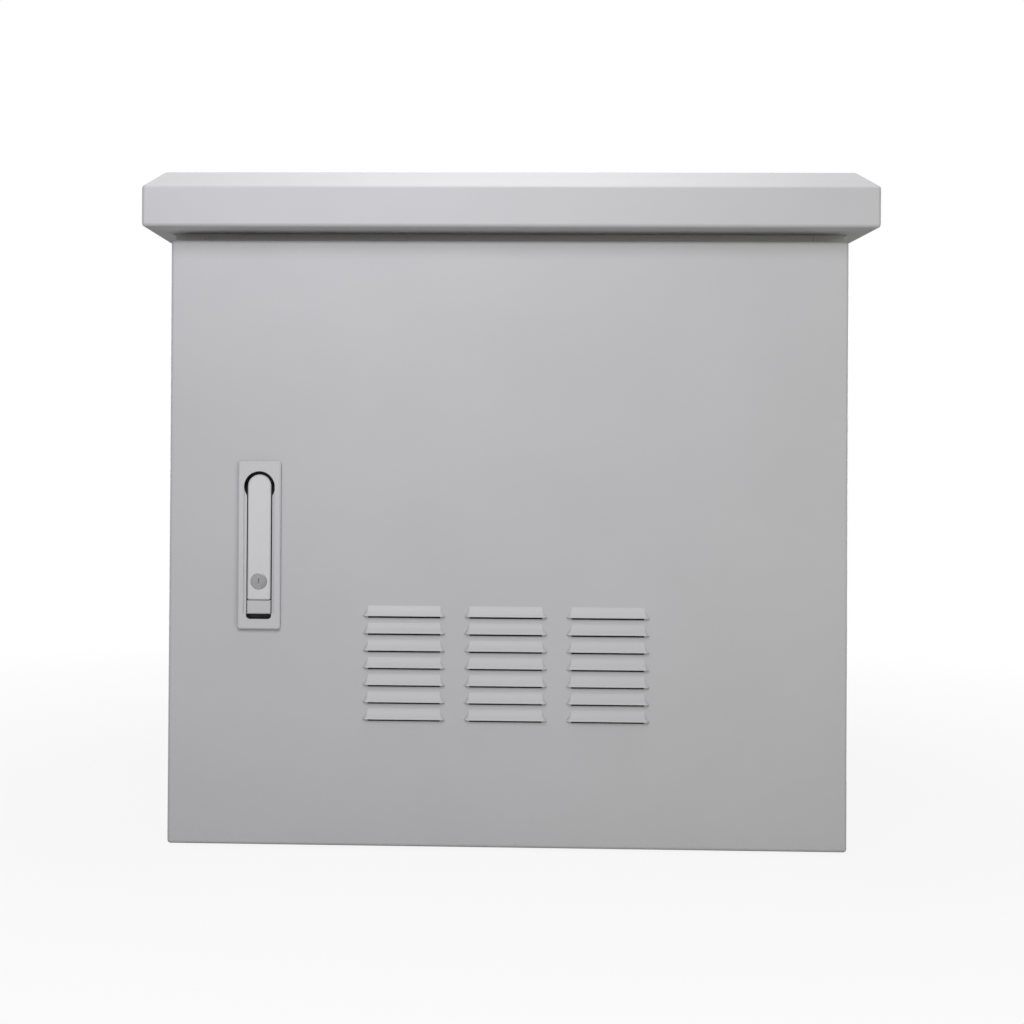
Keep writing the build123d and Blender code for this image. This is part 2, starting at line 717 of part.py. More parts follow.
# Door panel: folded pan with louvres, handle cut-out and notches round the hinges
handle_x = -(body_width / 2 - handle_inset)
handle_z = door_bottom + handle_height
dish_width = recess_width + 2 * dish_wall
dish_height = recess_height + 2 * dish_wall
cutout_width = dish_width + 2 * cutout_fit
cutout_height = dish_height + 2 * cutout_fit
lock_screw_spacing = (handle_plate_height + cutout_height) / 2
louvre_block_z = door_bottom + louvre_lowest_slit + louvre_height / 2 + louvre_pitch_z * (louvre_rows - 1) / 2
louvre_places = [
    (
        louvre_pitch_x * (column - (louvre_columns - 1) / 2),
        door_face,
        louvre_block_z + louvre_pitch_z * (row - (louvre_rows - 1) / 2),
    )
    for column in range(louvre_columns)
    for row in range(louvre_rows)
]
with BuildPart() as door_panel:
    with BuildSketch(upright(door_face)):
        with Locations((0, door_mid)):
            Rectangle(body_width, door_height)
    extrude(amount=-door_skirt_depth)
    fillet(door_panel.edges().filter_by(Axis.Y), radius=fold_radius)
    fillet(door_panel.faces().sort_by(Axis.Y)[0].edges(), radius=fold_radius)
    offset(amount=-sheet, openings=door_panel.faces().sort_by(Axis.Y)[-1])
    with BuildSketch(upright(door_face)):
        with Locations((handle_x, handle_z)):
            Rectangle(cutout_width, cutout_height)
            with GridLocations(lock_screw_radius, lock_screw_spacing, 1, 2):
                Circle(lock_screw_radius + bolt_fit)
    extrude(amount=-(sheet + overrun), mode=Mode.SUBTRACT)
    with BuildSketch(Plane.YZ.offset(body_width / 2)):
        for height in hinge_heights.values():
            with Locations((door_back + door_skirt_depth / 2, height)):
                Rectangle(door_skirt_depth, hinge_notch_height)
    extrude(amount=-(sheet + overrun), mode=Mode.SUBTRACT)
    with Locations(*louvre_places):
        add(louvre_form.part)
    with Locations(*louvre_places):
        add(louvre_cavity.part, mode=Mode.SUBTRACT)
finish(door_panel, "door_panel")

# Door seal: foamed ring inside the skirt
with BuildPart() as door_gasket:
    with BuildSketch(upright(door_back)):
        with Locations((0, door_mid)):
            RectangleRounded(
                lip_width + gasket_width, lip_height + gasket_width, gasket_corner_radius + gasket_width / 2
            )
            RectangleRounded(
                lip_width - gasket_width,
                lip_height - gasket_width,
                gasket_corner_radius - gasket_width / 2,
                mode=Mode.SUBTRACT,
            )
    extrude(amount=-gasket_thickness)
finish(door_gasket, "door_gasket")

# Door stiffeners: channels welded upright to the back of the door
stiffener_x = body_width / 2 - stiffener_inset
stiffener_length = lip_height - gasket_width - 2 * stiffener_end_gap
for side, sign in sides.items():
    with BuildPart() as door_stiffener:
        with BuildSketch(Plane.XY.offset(door_mid - stiffener_length / 2)):
            with Locations((sign * stiffener_x, door_back + stiffener_depth / 2)):
                Rectangle(stiffener_width, stiffener_depth)
            with Locations((sign * stiffener_x, door_back + (stiffener_depth - sheet) / 2)):
                Rectangle(stiffener_width - 2 * sheet, stiffener_depth - sheet, mode=Mode.SUBTRACT)
        extrude(amount=stiffener_length)
    finish(door_stiffener, "door_stiffener_" + side)

# Dust filter: mat in a flanged frame, held by nuts on studs of the door
filter_width = louvre_block_width + 2 * filter_margin_x
filter_height = louvre_pitch_z * (louvre_rows - 1) + louvre_height + 2 * filter_margin_z
filter_back = door_back + filter_thickness
filter_stud_spacing_x = filter_width + filter_tab_width
filter_stud_spacing_z = filter_height - filter_tab_width
with BuildPart() as filter_mat:
    with BuildSketch(upright(door_back)):
        with Locations((0, louvre_block_z)):
            Rectangle(filter_width, filter_height)
    extrude(amount=-filter_thickness)
finish(filter_mat, "filter_mat")

with BuildPart() as filter_frame:
    with BuildSketch(upright(filter_back)):
        with Locations((0, louvre_block_z)):
            Rectangle(filter_width + 2 * sheet, filter_height + 2 * sheet)
            Rectangle(
                filter_width - 2 * filter_frame_lip, filter_height - 2 * filter_frame_lip, mode=Mode.SUBTRACT
            )
    extrude(amount=-sheet)
    with BuildSketch(upright(door_back)):
        with Locations((0, louvre_block_z)):
            Rectangle(filter_width + 2 * sheet, filter_height + 2 * sheet)
            Rectangle(filter_width, filter_height, mode=Mode.SUBTRACT)
    extrude(amount=-filter_thickness)
    with BuildSketch(upright(door_back)):
        with Locations((0, louvre_block_z)):
            with GridLocations(filter_stud_spacing_x + sheet, filter_stud_spacing_z, 2, 2):
                Rectangle(filter_tab_width - sheet, filter_tab_width)
            with GridLocations(filter_stud_spacing_x, filter_stud_spacing_z, 2, 2):
                Circle(filter_stud_radius + bolt_fit, mode=Mode.SUBTRACT)
    extrude(amount=-sheet)
finish(filter_frame, "filter_frame")

with BuildPart() as filter_studs:
    with BuildSketch(upright(door_back)):
        with Locations((0, louvre_block_z)):
            with GridLocations(filter_stud_spacing_x, filter_stud_spacing_z, 2, 2):
                Circle(filter_stud_radius)
    extrude(amount=-(sheet + filter_nut_height + filter_stud_tail))
finish(filter_studs, "filter_studs")

with BuildPart() as filter_nuts:
    with BuildSketch(upright(door_back + sheet)):
        with Locations((0, louvre_block_z)):
            with GridLocations(filter_stud_spacing_x, filter_stud_spacing_z, 2, 2):
                RegularPolygon(filter_nut_radius, 6)
                Circle(filter_stud_radius + running_fit, mode=Mode.SUBTRACT)
    extrude(amount=-filter_nut_height)
finish(filter_nuts, "filter_nuts")

# Handle plate: die-cast bezel with a deep dish that drops through the door
plate_back = door_face - handle_seal_thickness
plate_front = plate_back - handle_plate_thickness
recess_floor = plate_front + recess_depth
dish_back = recess_floor + dish_floor
recess_top = handle_z + recess_height / 2
recess_bottom = handle_z - recess_height / 2
ledge_bottom = recess_bottom + ledge_rise
spindle_z = recess_top - recess_width / 2
lever_face = plate_front + lever_face_setback
lever_back = lever_face + lever_thickness
lever_top = recess_top - lever_top_gap
lever_bottom = lever_top - lever_length
lever_pin_y = lever_face + lever_thickness / 2
lever_pin_z = lever_top - lever_pin_drop
lever_pin_rise = lever_pin_z - spindle_z
lever_pin_half = ((recess_width / 2) ** 2 - lever_pin_rise**2) ** 0.5 + lever_pin_bite
button_top = lever_bottom - button_lever_gap
button_z = button_top - button_height / 2
with BuildPart() as handle_plate:
    with BuildSketch(upright(plate_back)):
        with Locations((handle_x, handle_z)):
            RectangleRounded(handle_plate_width, handle_plate_height, handle_plate_corner)
    extrude(amount=handle_plate_thickness)
    chamfer(handle_plate.faces().sort_by(Axis.Y)[0].edges(), length=handle_plate_bevel)
    with BuildSketch(upright(plate_back)):
        with Locations((handle_x, handle_z)):
            RectangleRounded(dish_width, dish_height, recess_bottom_corner + dish_wall)
    extrude(amount=-(dish_back - plate_back))
    with BuildSketch(upright(recess_floor)) as channel_outline:
        with Locations((handle_x, spindle_z)):
            Circle(recess_width / 2)
        with Locations((handle_x, (spindle_z + recess_bottom) / 2)):
            Rectangle(channel_width, spindle_z - recess_bottom)
        fillet(channel_outline.vertices().group_by(Axis.Z)[0], radius=recess_bottom_corner)
    extrude(amount=recess_depth, mode=Mode.SUBTRACT)
    with BuildSketch(upright(plate_front + ledge_depth)):
        with Locations((handle_x, (spindle_z + ledge_bottom) / 2)):
            Rectangle(recess_width, spindle_z - ledge_bottom)
    extrude(amount=ledge_depth, mode=Mode.SUBTRACT)
    with BuildSketch(upright(recess_floor)):
        with Locations((handle_x, spindle_z)):
            Circle(spindle_radius + running_fit)
        with Locations((handle_x, button_z)):
            Circle(button_stem_radius + cutout_fit)
    extrude(amount=-dish_floor, mode=Mode.SUBTRACT)
    with BuildSketch(upright(plate_back)):
        with Locations((handle_x, handle_z)):
            with GridLocations(lock_screw_radius, lock_screw_spacing, 1, 2):
                Circle(lock_screw_radius + running_fit)
    extrude(amount=lock_screw_bite, mode=Mode.SUBTRACT)
    with BuildSketch(Plane.YZ.offset(handle_x - lever_pin_half)):
        with Locations((lever_pin_y, lever_pin_z)):
            Circle(lever_pin_radius + running_fit)
    extrude(amount=2 * lever_pin_half, mode=Mode.SUBTRACT)
finish(handle_plate, "handle_plate")

# Handle seal, clamp bracket behind the door and its two screws
with BuildPart() as handle_seal:
    with BuildSketch(upright(door_face)):
        with Locations((handle_x, handle_z)):
            RectangleRounded(handle_plate_width, handle_plate_height, handle_plate_corner)
            Rectangle(cutout_width, cutout_height, mode=Mode.SUBTRACT)
            with GridLocations(lock_screw_radius, lock_screw_spacing, 1, 2):
                Circle(lock_screw_radius + bolt_fit, mode=Mode.SUBTRACT)
    extrude(amount=handle_seal_thickness)
finish(handle_seal, "handle_seal")

with BuildPart() as lock_bracket:
    with BuildSketch(upright(door_back)):
        with Locations((handle_x, handle_z)):
            RectangleRounded(
                cutout_width + 2 * lock_bracket_margin,
                cutout_height + 2 * lock_bracket_margin,
                recess_bottom_corner,
            )
            Rectangle(cutout_width, cutout_height, mode=Mode.SUBTRACT)
            with GridLocations(lock_screw_radius, lock_screw_spacing, 1, 2):
                Circle(lock_screw_radius + bolt_fit, mode=Mode.SUBTRACT)
    extrude(amount=-lock_bracket_thickness)
finish(lock_bracket, "lock_bracket")

bracket_back = door_back + lock_bracket_thickness
with BuildPart() as lock_screws:
    with BuildSketch(upright(bracket_back)):
        with Locations((handle_x, handle_z)):
            with GridLocations(lock_screw_radius, lock_screw_spacing, 1, 2):
                Circle(lock_screw_radius)
    extrude(amount=bracket_back - plate_back + lock_screw_bite)
    with BuildSketch(upright(bracket_back)):
        with Locations((handle_x, handle_z)):
            with GridLocations(lock_screw_radius, lock_screw_spacing, 1, 2):
                Circle(lock_screw_head_radius)
    extrude(amount=-lock_screw_head_height)
finish(lock_screws, "lock_screws")

# Lever pin across the recess
with BuildPart() as lever_pin:
    with BuildSketch(Plane.YZ.offset(handle_x - lever_pin_half)):
        with Locations((lever_pin_y, lever_pin_z)):
            Circle(lever_pin_radius)
    extrude(amount=2 * lever_pin_half)
finish(lever_pin, "lever_pin")

# Lever: die-cast bar with a round head, bored for its pin and for the lock barrel
barrel_z = lever_bottom + barrel_rise
with BuildPart() as lever:
    with BuildSketch(upright(lever_back)) as lever_outline:
        with Locations((handle_x, lever_top - lever_width / 2)):
            Circle(lever_width / 2)
        with Locations((handle_x, (lever_top - lever_width / 2 + lever_bottom) / 2)):
            Rectangle(lever_width, lever_top - lever_width / 2 - lever_bottom)
        fillet(lever_outline.vertices().group_by(Axis.Z)[0], radius=lever_foot_corner)
    extrude(amount=lever_thickness)
    back_edges = lever.faces().sort_by(Axis.Y)[-1].edges()
    fillet(back_edges.filter_by(GeomType.CIRCLE).sort_by(SortBy.RADIUS)[-1], radius=lever_back_round)
    chamfer(lever.faces().sort_by(Axis.Y)[0].edges(), length=lever_edge_bevel)
    with BuildSketch(Plane.YZ.offset(handle_x - lever_width)):
        with Locations((lever_pin_y, lever_pin_z)):
            Circle(lever_pin_radius + running_fit)
    extrude(amount=2 * lever_width, mode=Mode.SUBTRACT)
    with BuildSketch(upright(lever_back)):
        with Locations((handle_x, barrel_z)):
            Circle(barrel_radius + running_fit)
    extrude(amount=lever_thickness, mode=Mode.SUBTRACT)
finish(lever, "lever")

# Lock barrel: turned plug with a key slot
barrel_front = lever_face - barrel_proud
with BuildPart() as lock_barrel:
    with BuildSketch(upright(lever_back)):
        with Locations((handle_x, barrel_z)):
            Circle(barrel_radius)
    extrude(amount=lever_back - barrel_front)
    chamfer(lock_barrel.faces().sort_by(Axis.Y)[0].edges(), length=barrel_face_bevel)
    with BuildSketch(upright(barrel_front)):
        with Locations((handle_x, barrel_z)):
            SlotOverall(key_slot_length, key_slot_width, rotation=90)
    extrude(amount=-key_slot_depth, mode=Mode.SUBTRACT)
    with BuildSketch(upright(barrel_front)):
        with Locations((handle_x, barrel_z)):
            Circle(barrel_groove_radius)
            Circle(barrel_groove_radius - barrel_groove_width, mode=Mode.SUBTRACT)
    extrude(amount=-barrel_groove_depth, mode=Mode.SUBTRACT)
finish(lock_barrel, "lock_barrel")

# Release button: block that travels inwards, guided by a stem in the dish floor
button_back = lever_face + button_thickness
with BuildPart() as push_button:
    with BuildSketch(upright(button_back)):
        with Locations((handle_x, button_z)):
            Rectangle(button_width, button_height)
    extrude(amount=button_thickness)
    chamfer(push_button.faces().sort_by(Axis.Y)[0].edges(), length=button_edge_bevel)
    with BuildSketch(upright(button_back)):
        with Locations((handle_x, button_z)):
            Circle(button_stem_radius)
    extrude(amount=-(dish_back - button_back))
finish(push_button, "push_button")

# Latch: spindle through the dish floor, cam on its square end and the cam bolt.
# The cam hangs down when released and turns out behind the doorway flange to lock.
cam_front = frame_back + frame_gap
cam_back = cam_front + cam_thickness
spindle_end = cam_back - spindle_square_tail
with BuildPart() as latch_spindle:
    with BuildSketch(upright(recess_floor)):
        with Locations((handle_x, spindle_z)):
            Circle(spindle_head_radius)
    extrude(amount=spindle_head_height)
    with BuildSketch(upright(recess_floor)):
        with Locations((handle_x, spindle_z)):
            Circle(spindle_radius)
    extrude(amount=-(cam_front - recess_floor))
    with BuildSketch(upright(cam_front)):
        with Locations((handle_x, spindle_z)):
            Rectangle(spindle_square, spindle_square)
    extrude(amount=-(spindle_end - cam_front))
    with BuildSketch(upright(spindle_end)):
        with Locations((handle_x, spindle_z)):
            Circle(cam_bolt_radius + running_fit)
    extrude(amount=cam_bolt_bite, mode=Mode.SUBTRACT)
finish(latch_spindle, "latch_spindle")

with BuildPart() as latch_cam:
    with BuildSketch(upright(cam_back)) as cam_outline:
        with Locations((handle_x, spindle_z)):
            Circle(cam_width / 2)
        with Locations((handle_x, spindle_z - cam_length / 2)):
            Rectangle(cam_width, cam_length)
        fillet(cam_outline.vertices().group_by(Axis.Z)[0], radius=recess_bottom_corner)
        with Locations((handle_x, spindle_z)):
            Rectangle(
                spindle_square + 2 * running_fit, spindle_square + 2 * running_fit, mode=Mode.SUBTRACT
            )
    extrude(amount=cam_thickness)
finish(latch_cam, "latch_cam")

with BuildPart() as cam_bolt:
    with BuildSketch(upright(cam_back)):
        with Locations((handle_x, spindle_z)):
            Circle(cam_bolt_radius)
    extrude(amount=cam_bolt_bite)
    with BuildSketch(upright(cam_back)):
        with Locations((handle_x, spindle_z)):
            Circle(cam_bolt_head_radius)
    extrude(amount=-cam_bolt_head_height)
finish(cam_bolt, "cam_bolt")
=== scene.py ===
import math

import bmesh
import bpy
import numpy as np
from mathutils import Matrix, Vector


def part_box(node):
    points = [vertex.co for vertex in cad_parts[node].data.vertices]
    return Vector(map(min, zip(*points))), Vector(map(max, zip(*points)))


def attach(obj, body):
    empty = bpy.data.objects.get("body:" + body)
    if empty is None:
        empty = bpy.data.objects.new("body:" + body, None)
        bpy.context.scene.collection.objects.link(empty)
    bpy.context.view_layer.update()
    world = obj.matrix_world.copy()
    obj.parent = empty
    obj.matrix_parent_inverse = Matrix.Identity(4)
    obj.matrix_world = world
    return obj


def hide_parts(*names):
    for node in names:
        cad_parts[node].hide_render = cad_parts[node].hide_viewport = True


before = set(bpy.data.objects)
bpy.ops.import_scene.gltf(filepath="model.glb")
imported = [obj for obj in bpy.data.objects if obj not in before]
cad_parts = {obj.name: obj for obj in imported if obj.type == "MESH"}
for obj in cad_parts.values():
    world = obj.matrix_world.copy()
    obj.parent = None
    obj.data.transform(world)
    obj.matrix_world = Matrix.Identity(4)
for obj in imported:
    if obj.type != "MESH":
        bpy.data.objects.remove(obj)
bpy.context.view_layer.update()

# Folded housing: wrap, pans, doorway frame and hood are 1.5 mm steel sheet, bent, welded and then
# sprayed with a light-grey polyester powder that is baked to a semi-matt skin.
MM = 0.001


def linear(hex_colour):
    """sRGB hex to linear: c/12.92 up to 0.04045, ((c+0.055)/1.055)^2.4 above."""
    channels = [int(hex_colour[i : i + 2], 16) / 255 for i in (1, 3, 5)]
    return tuple(c / 12.92 if c <= 0.04045 else ((c + 0.055) / 1.055) ** 2.4 for c in channels) + (1.0,)


def add_node(tree, kind, settings=None, **inputs):
    """Add one shader node; settings are its properties, inputs are values or sockets to link.
    An input is named by its label with spaces as underscores, or by its number as i0, i1."""
    node = tree.nodes.new(kind)
    for name, value in (settings or {}).items():
        setattr(node, name, value)
    for name, value in inputs.items():
        numbered = name[0] == "i" and name[1:].isdigit()
        socket = node.inputs[int(name[1:]) if numbered else name.replace("_", " ")]
        if isinstance(value, bpy.types.NodeSocket):
            tree.links.new(value, socket)
        else:
            socket.default_value = value
    return node


def new_material(name):
    """An empty node material, its tree and its output node."""
    material = bpy.data.materials.new(name)
    material.use_nodes = True
    material.node_tree.nodes.clear()
    output = material.node_tree.nodes.new("ShaderNodeOutputMaterial")
    return material, material.node_tree, output


def powder_coat(name, pale, deep, roughness, painted_shade_behind_mm=None):
    """Baked polyester powder: an even skin with a fine orange peel and faint cloudy tone.
    Behind a given depth along Y the colour fades to near-black: painted shade for a deep gap."""
    peel_mm, peel_depth_mm, cloud_mm = 0.9, 0.03, 90.0
    # Painted shade: a near-black colour for the deep channel, and the depth over which it fades in.
    painted_gap_shade, painted_shade_fade_mm = "#2A2A2B", 0.3
    material, tree, output = new_material(name)
    place = add_node(tree, "ShaderNodeTexCoord").outputs["Object"]
    peel = add_node(tree, "ShaderNodeTexNoise", Vector=place, Scale=1 / (peel_mm * MM), Detail=2.0)
    cloud = add_node(tree, "ShaderNodeTexNoise", Vector=place, Scale=1 / (cloud_mm * MM), Detail=3.0)
    tone = add_node(tree, "ShaderNodeValToRGB", Fac=cloud.outputs["Fac"])
    for stop, position, shade in zip(tone.color_ramp.elements, (0.3, 0.7), (deep, pale)):
        stop.position = position
        stop.color = linear(shade)
    bump = add_node(
        tree,
        "ShaderNodeBump",
        Height=peel.outputs["Fac"],
        Strength=0.35,
        Distance=peel_depth_mm * MM,
    )
    colour = tone.outputs["Color"]
    # Painted shade: past the given depth the coat colour is blended to near-black, where the gap lies in
    # shade.
    if painted_shade_behind_mm is not None:
        depth = add_node(tree, "ShaderNodeSeparateXYZ", Vector=place)
        in_painted_shade = add_node(
            tree,
            "ShaderNodeMapRange",
            Value=depth.outputs["Y"],
            From_Min=(painted_shade_behind_mm - painted_shade_fade_mm) * MM,
            From_Max=(painted_shade_behind_mm + painted_shade_fade_mm) * MM,
        )
        coat = add_node(
            tree,
            "ShaderNodeMix",
            {"data_type": "RGBA"},
            i0=in_painted_shade.outputs["Result"],
            i6=colour,
            i7=linear(painted_gap_shade),
        )
        colour = coat.outputs[2]
    skin = add_node(
        tree,
        "ShaderNodeBsdfPrincipled",
        Base_Color=colour,
        Roughness=roughness,
        IOR=1.5,
        Normal=bump.outputs["Normal"],
    )
    tree.links.new(skin.outputs["BSDF"], output.inputs["Surface"])
    return material


def dress(material, *names):
    """Give CAD nodes a finished material in place of their plain one."""
    for name in names:
        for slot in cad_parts[name].material_slots:
            slot.material = material


# The powder gives one soft, even grey: its peel spreads every highlight, and no metal shows.
grey_powder = powder_coat("light_grey_powder_coat", pale="#C4C4C5", deep="#C1C1C2", roughness=0.45)
dress(grey_powder, "body_wrap", "top_panel", "base_panel", "front_frame", "rain_hood")

# Hood fixings: M8 studs welded inside the hood pass through spacer tubes and the top panel and
# take hexagon nuts inside. All are turned or cold-formed steel, electroplated with bright zinc.
UP = (0, 0, 1)
M8_RADIUS, M8_THREAD, M8_FLATS = 4.0, 1.25, 13.0
THREAD_PLAY = 0.05
hood_stud_pitch = (440.0, 280.0, 0.0)


def satin_metal(name, pale, deep, roughness):
    """Plated or bare metal: fine grain drawn out along the height under a cloudy passivation."""
    # Real grain is near 0.05 mm wide. It is drawn coarser, so that it shows.
    grain_mm, grain_length_mm, grain_depth_mm, cloud_mm = 0.25, 8.0, 0.02, 14.0
    smoothest, roughest = roughness - 0.08, roughness + 0.1
    across, along = 1 / (grain_mm * MM), 1 / (grain_length_mm * MM)
    material, tree, output = new_material(name)
    place = add_node(tree, "ShaderNodeTexCoord").outputs["Object"]
    drawn = add_node(tree, "ShaderNodeMapping", Vector=place, Scale=(across, across, along))
    grain = add_node(tree, "ShaderNodeTexNoise", Vector=drawn.outputs["Vector"], Scale=1.0, Detail=1.0)
    cloud = add_node(tree, "ShaderNodeTexNoise", Vector=place, Scale=1 / (cloud_mm * MM), Detail=2.0)
    tone = add_node(tree, "ShaderNodeValToRGB", Fac=cloud.outputs["Fac"])
    for stop, position, shade in zip(tone.color_ramp.elements, (0.35, 0.65), (deep, pale)):
        stop.position = position
        stop.color = linear(shade)
    rough = add_node(
        tree,
        "ShaderNodeMapRange",
        Value=grain.outputs["Fac"],
        To_Min=smoothest,
        To_Max=roughest,
    )
    bump = add_node(
        tree,
        "ShaderNodeBump",
        Height=grain.outputs["Fac"],
        Strength=0.2,
        Distance=grain_depth_mm * MM,
    )
    skin = add_node(
        tree,
        "ShaderNodeBsdfPrincipled",
        Base_Color=tone.outputs["Color"],
        Metallic=1.0,
        Roughness=rough.outputs["Result"],
        Normal=bump.outputs["Normal"],
    )
    tree.links.new(skin.outputs["BSDF"], output.inputs["Surface"])
    return material


def span(node):
    """Middle and size of a CAD node's box, in millimetres."""
    low, high = (np.array(corner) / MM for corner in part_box(node))
    return (low + high) / 2, high - low


def start_of(node, axis):
    """Middle of the box side that an axis sets out from, m - L/2 a, and the box's length L along it."""
    middle, size = span(node)
    length = abs(np.dot(size, axis))
    return middle - length / 2 * np.array(axis), length


def spaced(middle, pitch, counts):
    """Places of like pieces round a middle: m + p (k - (n - 1) / 2) on each axis, for each k below n."""
    steps = np.indices(counts).reshape(3, -1).T
    return middle + (steps - (np.array(counts) - 1) / 2) * pitch


def grid_piece(name, points, material, close_rows=False, crease=35):
    """Mesh of quads over points[k, i, j], k copies of a grid in mm; j always closes round.
    Each copy is a closed skin, turned so that sum(p0 . (p1 x p2)) over its faces is positive.
    A ring of radius zero becomes one point, which closes the pole."""
    same_point = 0.0001 * MM
    copies, rows, columns = points.shape[:3]
    index = np.arange(copies * rows * columns).reshape(copies, rows, columns)
    if close_rows:
        index = np.concatenate([index, index[:, :1]], axis=1)
    index = np.concatenate([index, index[:, :, :1]], axis=2)
    corners = [index[:, :-1, :-1], index[:, 1:, :-1], index[:, 1:, 1:], index[:, :-1, 1:]]
    quads = np.stack(corners, axis=-1).reshape(-1, 4)
    flat = points.reshape(-1, 3) * MM
    a, b, c, d = (flat[quads[:, n]] for n in range(4))
    volume = np.einsum("ij,ij->", a, np.cross(b, c)) + np.einsum("ij,ij->", a, np.cross(c, d))
    if volume < 0:
        quads = quads[:, ::-1]
    mesh = bpy.data.meshes.new(name)
    mesh.from_pydata(flat.tolist(), [], quads.tolist())
    skin = bmesh.new()
    skin.from_mesh(mesh)
    bmesh.ops.remove_doubles(skin, verts=skin.verts, dist=same_point)
    skin.to_mesh(mesh)
    skin.free()
    mesh.polygons.foreach_set("use_smooth", np.ones(len(mesh.polygons), dtype=bool))
    mesh.set_sharp_from_angle(angle=math.radians(crease))
    mesh.materials.append(material)
    piece = bpy.data.objects.new(name, mesh)
    bpy.context.scene.collection.objects.link(piece)
    return piece


def stand_in(piece, body, node):
    """Tie a new piece to its body, to the CAD node that it stands for and to its finish."""
    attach(piece, body)
    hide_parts(node)
    dress(piece.data.materials[0], node)


def place_round(stations, radii, axis, seats):
    """Points of round pieces: seat + a*axis + r*(cos t * u + sin t * v), one copy per seat."""
    axis = np.asarray(axis, float)
    u = np.roll(axis, 1)
    v = np.cross(axis, u)
    turn = np.linspace(0, 2 * np.pi, radii.shape[1], endpoint=False)
    rings = np.cos(turn)[:, None] * u + np.sin(turn)[:, None] * v
    points = stations[:, :, None] * axis + radii[:, :, None] * rings[None]
    return np.asarray(seats, float)[:, None, None, :] + points[None]


def threaded_stud(radius, thread, length, axis, seats):
    """Stud with a vee thread of pitch p: r = R - 0.6 p |2 frac(a/p - t/2pi) - 1|, capped at both ends."""
    rings_per_thread, points_round = 8, 32
    a = np.linspace(0, length, int(length / thread * rings_per_thread))[:, None]
    t = np.linspace(0, 1, points_round, endpoint=False)[None]
    phase = (a / thread - t) % 1.0
    r = radius - 0.6 * thread * np.abs(2 * phase - 1)
    stations = np.concatenate([a[:1], a, a[-1:]]) + np.zeros_like(t)
    radii = np.concatenate([0 * r[:1], r, 0 * r[-1:]])
    return place_round(stations, radii, axis, seats)


def hexagon(turn, flats):
    """Radius of a hexagon, w/2 / cos((t mod 60) - 30 degrees), for a width w across its flats."""
    return flats / 2 / np.cos((turn % (np.pi / 3)) - np.pi / 6)


def hex_nut(flats, height, bore, axis, seats):
    """Nut: r = min(hexagon, chamfer cone) outside, a plain bore inside, closed into a ring."""
    turn = np.linspace(0, 2 * np.pi, 72, endpoint=False)[None]
    lift = height * np.array([0, 0, 0.06, 0.14, 0.86, 0.94, 1, 1])[:, None]
    cone = flats / 2 * np.array([0, 0.95, 1.06, 1.16, 1.16, 1.06, 0.95, 0])[:, None]
    radii = np.maximum(np.minimum(hexagon(turn, flats), cone), bore)
    return place_round(lift + 0 * turn, radii, axis, seats)


# Zinc plate gives a cool, slightly blurred shine with faint cloudy patches.
bright_zinc = satin_metal("bright_zinc_plate", pale="#C4C7CA", deep="#B4B8BC", roughness=0.36)
dress(bright_zinc, "hood_spacers")
base, length = start_of("hood_studs", UP)
hood_stud_places = spaced(base, hood_stud_pitch, (2, 2, 1))
studs = grid_piece(
    "threaded_hood_studs",
    threaded_stud(M8_RADIUS, M8_THREAD, length, UP, hood_stud_places),
    bright_zinc,
)
stand_in(studs, "cabinet", "hood_studs")
base, height = start_of("hood_nuts", UP)
hood_nut_places = spaced(base, hood_stud_pitch, (2, 2, 1))
nuts = grid_piece(
    "hood_hexagon_nuts",
    hex_nut(M8_FLATS, height, M8_RADIUS + THREAD_PLAY, UP, hood_nut_places),
    bright_zinc,
    close_rows=True,
)
stand_in(nuts, "cabinet", "hood_nuts")

# Cable entry: a zinc-plated plate screwed over the cut-out in the base, with three moulded rubber
# grommets snapped into its holes, each a closed cone that is cut open for its cable.
gland_screw_pitch = (133.0, 106.0, 0.0)
gland_head_radius, gland_head_height, gland_shank_radius = 4.5, 2.6, 2.5


def rubber_skin(name, colour, roughness, pore_mm):
    """Rubber or foam: a dull skin with a fine cell pattern, shinier in the hollows."""
    pore_depth_mm = 0.05
    material, tree, output = new_material(name)
    place = add_node(tree, "ShaderNodeTexCoord").outputs["Object"]
    pores = add_node(tree, "ShaderNodeTexVoronoi", Vector=place, Scale=1 / (pore_mm * MM))
    bump = add_node(
        tree,
        "ShaderNodeBump",
        Height=pores.outputs["Distance"],
        Strength=0.3,
        Distance=pore_depth_mm * MM,
    )
    rough = add_node(
        tree,
        "ShaderNodeMapRange",
        Value=pores.outputs["Distance"],
        To_Min=roughness + 0.1,
        To_Max=roughness,
    )
    skin = add_node(
        tree,
        "ShaderNodeBsdfPrincipled",
        Base_Color=linear(colour),
        Roughness=rough.outputs["Result"],
        Normal=bump.outputs["Normal"],
    )
    tree.links.new(skin.outputs["BSDF"], output.inputs["Surface"])
    return material


def socket_screw(head_radius, head_height, shank_radius, length, axis, tips):
    """Button-head screw, turned rings (a, r) from its tip to its crown, then a hexagon hole sunk
    by 0.6 of the head. The axis points from the tip to the head."""
    tip_bevel = 0.4
    turn = np.linspace(0, 2 * np.pi, 36, endpoint=False)[None]
    under_head = length - head_height
    turned = np.array(
        [
            (0, 0),
            (0, 0.8 * shank_radius),
            (tip_bevel, shank_radius),
            (under_head, shank_radius),
            (under_head, 0.97 * head_radius),
            (under_head + 0.25 * head_height, head_radius),
            (under_head + 0.7 * head_height, 0.9 * head_radius),
            (length, 0.72 * head_radius),
        ]
    )
    socket = hexagon(turn, 1.15 * head_radius)
    socket_floor = length - 0.6 * head_height
    lift = np.append(turned[:, 0], [length, socket_floor, socket_floor])
    radii = np.concatenate([turned[:, 1:] + 0 * turn, socket, socket, 0 * socket])
    return place_round(lift[:, None] + 0 * turn, radii, axis, tips)


